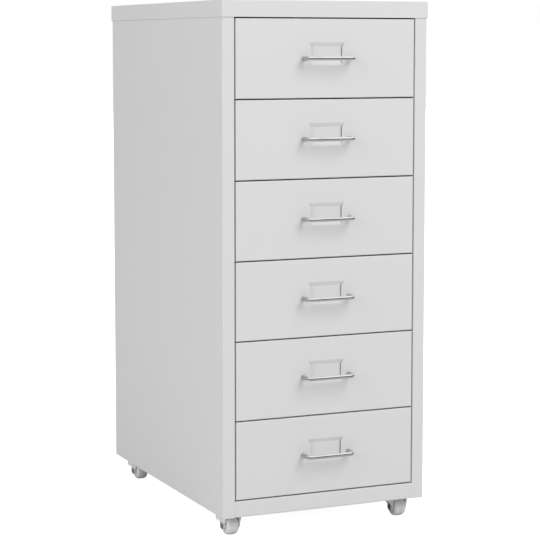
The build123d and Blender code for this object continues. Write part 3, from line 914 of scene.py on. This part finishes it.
class CABINET_OT_casters(bpy.types.Operator):
    """Finish the caster plates, forks, axles, kingpins and wheels"""

    bl_idname = "cabinet.casters"
    bl_label = "Finish the casters"

    def execute(self, context):
        plates = [name for name in slot_nodes("zinc_plate") if name.startswith("caster_plate")]
        coat(plates + ["caster_kingpins"], zinc_plated("caster plate zinc"))
        coat(slot_nodes("axle_steel"), zinc_plated("axle zinc", roughness_change=AXLE_POLISH))
        coat(slot_nodes("fork_grey"), fork_plastic())
        for name in slot_nodes("wheel_grey"):
            corner = name.removeprefix("caster_wheel_")
            material = wheel_plastic(corner)
            coat([name], material)
            detailed_wheel(corner, material)
        return {"FINISHED"}


class CABINET_OT_casing_screws(bpy.types.Operator):
    """Make the screws of the casing's rear with their crosses and threads"""

    bl_idname = "cabinet.casing_screws"
    bl_label = "Make the casing screws"

    def execute(self, context):
        detailed_screws("casing_screws", Vector((0, -1, 0)), zinc_plated("casing screw zinc"), threaded=True)
        return {"FINISHED"}


class CABINET_OT_caster_screws(bpy.types.Operator):
    """Make the screws of the caster plates with their crosses and threads"""

    bl_idname = "cabinet.caster_screws"
    bl_label = "Make the caster screws"

    def execute(self, context):
        detailed_screws("caster_screws", Vector((0, 0, 1)), zinc_plated("caster screw zinc"), threaded=True)
        return {"FINISHED"}


class CABINET_OT_handle_screws(bpy.types.Operator):
    """Make the screws behind the handles with their crosses"""

    bl_idname = "cabinet.handle_screws"
    bl_label = "Make the handle screws"

    def execute(self, context):
        material = zinc_plated("handle screw zinc")
        nodes = [name for name in slot_nodes("zinc_plate") if name.startswith("handle_screws")]
        for node in nodes:
            detailed_screws(node, Vector((0, -1, 0)), material, threaded=False)
        return {"FINISHED"}


class CABINET_OT_studio(bpy.types.Operator):
    """Set up the floor, the lamps, the surround and the camera"""

    bl_idname = "cabinet.studio"
    bl_label = "Set up the studio"

    def execute(self, context):
        make_floor()
        make_dark_band()
        make_lamps()
        make_surround()
        make_camera()
        context.scene.view_settings.view_transform = "Standard"
        return {"FINISHED"}


# ================================================================ studio
FLOOR_REACH = 14.0          # metres
BAND_RADIUS = 3.6           # metres; the dark band only shows in the chrome
BAND_LOW, BAND_HIGH = 0.08, 2.10
BAND_STEPS = 48
BAND_TONE = (0.02, 0.02, 0.02)
WHITE = (1.0, 1.0, 1.0, 1.0)
AIM_HEIGHT = 0.36           # metres; both lamps point there
KEY_WAY = (0.34, -0.75, 0.66)       # from there towards the lamp
KEY_DISTANCE, KEY_SIZE = 3.2, 1.8
FILL_WAY = (-0.88, -0.30, 0.36)
FILL_DISTANCE, FILL_SIZE = 3.4, 2.3
CLIP_START, CLIP_END = 0.05, 60.0


def stage_object(name, mesh, material):
    """An object of the studio, which isn't part of the cabinet."""
    mesh.materials.append(material)
    made = new_object(name, mesh)
    return made


def make_floor():
    """Pale floor. It is white to the camera, dimmer in the chrome, and clear when it is seen from below."""
    studio = bpy.context.scene.cabinet_studio
    mesh = bpy.data.meshes.new("floor")
    reach = FLOOR_REACH
    corners = [(-reach, -reach, 0), (reach, -reach, 0), (reach, reach, 0), (-reach, reach, 0)]
    mesh.from_pydata(corners, [], [(0, 1, 2, 3)])
    material = bpy.data.materials.new("studio floor")
    material.use_nodes = True
    tree = material.node_tree
    tree.nodes.clear()
    place = object_place(tree)
    cloud = remap(tree, noise(tree, place, FLOOR_WAVES), 0.3, 0.7, 0.985, 1.015)
    tone = scaled(tree, tuple(studio.floor_colour), cloud)
    ray = tree.nodes.new("ShaderNodeLightPath").outputs
    dimmed = remap(tree, ray["Is Glossy Ray"], 0.0, 1.0, 1.0, studio.floor_in_chrome)
    matt = add(tree, "ShaderNodeBsdfDiffuse", {"Color": scaled(tree, tone, dimmed)}).outputs[0]
    shown = plus(tree, ray["Is Camera Ray"], ray["Is Transmission Ray"], clamp=True)
    glow = times(tree, shown, studio.floor_glow)
    white = add(tree, "ShaderNodeEmission", {"Color": WHITE, "Strength": glow}).outputs[0]
    lit = add(tree, "ShaderNodeAddShader", {0: matt, 1: white}).outputs[0]
    below = tree.nodes.new("ShaderNodeNewGeometry").outputs["Backfacing"]
    clear = tree.nodes.new("ShaderNodeBsdfTransparent").outputs[0]
    seen = add(tree, "ShaderNodeMixShader", {0: below, 1: lit, 2: clear}).outputs[0]
    add(tree, "ShaderNodeOutputMaterial", {"Surface": seen})
    stage_object("studio_floor", mesh, material)


def make_dark_band():
    """Dark band round the studio at the height of the horizon. It draws the dark line along the chrome."""
    made = bmesh.new()
    angles = [math.tau * step / BAND_STEPS for step in range(BAND_STEPS)]
    ring = [(BAND_RADIUS * math.cos(angle), BAND_RADIUS * math.sin(angle)) for angle in angles]
    rows = [[made.verts.new((*spot, height)) for spot in ring] for height in (BAND_LOW, BAND_HIGH)]
    bridge(made, rows)
    mesh = mesh_of(made, "dark_band", turned=False)
    material, _, shader = new_material("studio dark cloth")
    shader["Base Color"].default_value = rgba(BAND_TONE)
    shader["Roughness"].default_value = 1.0
    band = stage_object("studio_dark_band", mesh, material)
    band.visible_camera = band.visible_diffuse = band.visible_shadow = band.visible_transmission = False


def make_lamp(name, way, distance, size, power):
    """A square area lamp aimed at the middle of the cabinet. The chrome shows the surround and not the lamp."""
    lamp = bpy.data.lights.new(name, "AREA")
    lamp.energy, lamp.shape, lamp.size = power, "SQUARE", size
    made = new_object(name, lamp)
    aim = Vector((0, 0, AIM_HEIGHT))
    made.location = aim + Vector(way).normalized() * distance
    made.rotation_euler = (aim - made.location).to_track_quat("-Z", "Y").to_euler()
    made.visible_glossy = False


def make_lamps():
    """A key lamp above the front and a soft fill on the left."""
    studio = bpy.context.scene.cabinet_studio
    make_lamp("key_lamp", KEY_WAY, KEY_DISTANCE, KEY_SIZE, studio.key_power)
    make_lamp("fill_lamp", FILL_WAY, FILL_DISTANCE, FILL_SIZE, studio.fill_power)


def make_surround():
    """Even light from all round, which looks white to the camera and in polished metal."""
    studio = bpy.context.scene.cabinet_studio
    world = bpy.data.worlds.new("studio surround")
    world.use_nodes = True
    tree = world.node_tree
    tree.nodes.clear()
    ray = tree.nodes.new("ShaderNodeLightPath").outputs
    shown = plus(tree, ray["Is Camera Ray"], ray["Is Glossy Ray"], clamp=True)
    shown = plus(tree, shown, ray["Is Transmission Ray"], clamp=True)
    strength = remap(tree, shown, 0.0, 1.0, studio.surround, 1.0)
    sky = add(tree, "ShaderNodeBackground", {"Color": WHITE, "Strength": strength}).outputs[0]
    add(tree, "ShaderNodeOutputWorld", {"Surface": sky})
    bpy.context.scene.world = world


def make_camera():
    """Camera at the photograph's place, with its axis a little above the middle of the picture."""
    studio = bpy.context.scene.cabinet_studio
    data = bpy.data.cameras.new("camera")
    data.lens = studio.camera_lens
    data.shift_y = (HORIZON_PIXEL - PICTURE_SIDE / 2) / PICTURE_SIDE
    data.clip_start, data.clip_end = CLIP_START, CLIP_END
    made = new_object("camera", data)
    made.location = studio.camera_place
    made.rotation_euler = (math.pi / 2 + studio.camera_pitch, 0.0, -studio.camera_yaw)
    bpy.context.scene.camera = made


# ================================================================ add-on
class CABINET_PT_sidebar(bpy.types.Panel):
    """Lists the cabinet's steps and settings"""

    bl_label = "Drawer cabinet"
    bl_idname = "CABINET_PT_sidebar"
    bl_space_type = "VIEW_3D"
    bl_region_type = "UI"
    bl_category = "Cabinet"

    def draw(self, context):
        for operator in OPERATORS:
            self.layout.operator(operator.bl_idname)
        for name, settings in SETTINGS.items():
            box = self.layout.box()
            box.label(text=settings.__doc__)
            for field in settings.__annotations__:
                box.prop(getattr(context.scene, name), field)


SETTINGS = {
    "cabinet_paint": CabinetPaint,
    "cabinet_chrome": CabinetChrome,
    "cabinet_zinc": CabinetZinc,
    "cabinet_casters": CabinetCasters,
    "cabinet_screws": CabinetScrews,
    "cabinet_studio": CabinetStudio,
}
OPERATORS = (
    CABINET_OT_casing,
    CABINET_OT_drawers,
    CABINET_OT_runners,
    CABINET_OT_handles,
    CABINET_OT_casters,
    CABINET_OT_casing_screws,
    CABINET_OT_caster_screws,
    CABINET_OT_handle_screws,
    CABINET_OT_studio,
)


def register():
    for settings in SETTINGS.values():
        bpy.utils.register_class(settings)
    for operator in OPERATORS:
        bpy.utils.register_class(operator)
    bpy.utils.register_class(CABINET_PT_sidebar)
    for name, settings in SETTINGS.items():
        setattr(bpy.types.Scene, name, PointerProperty(type=settings))


def unregister():
    for name in SETTINGS:
        delattr(bpy.types.Scene, name)
    bpy.utils.unregister_class(CABINET_PT_sidebar)
    for operator in reversed(OPERATORS):
        bpy.utils.unregister_class(operator)
    for settings in reversed(SETTINGS.values()):
        bpy.utils.unregister_class(settings)


def main():
    register()
    bpy.ops.cabinet.casing()
    bpy.ops.cabinet.drawers()
    bpy.ops.cabinet.runners()
    bpy.ops.cabinet.handles()
    bpy.ops.cabinet.casters()
    bpy.ops.cabinet.casing_screws()
    bpy.ops.cabinet.caster_screws()
    bpy.ops.cabinet.handle_screws()
    bpy.ops.cabinet.studio()


if __name__ == "__main__":
    main()
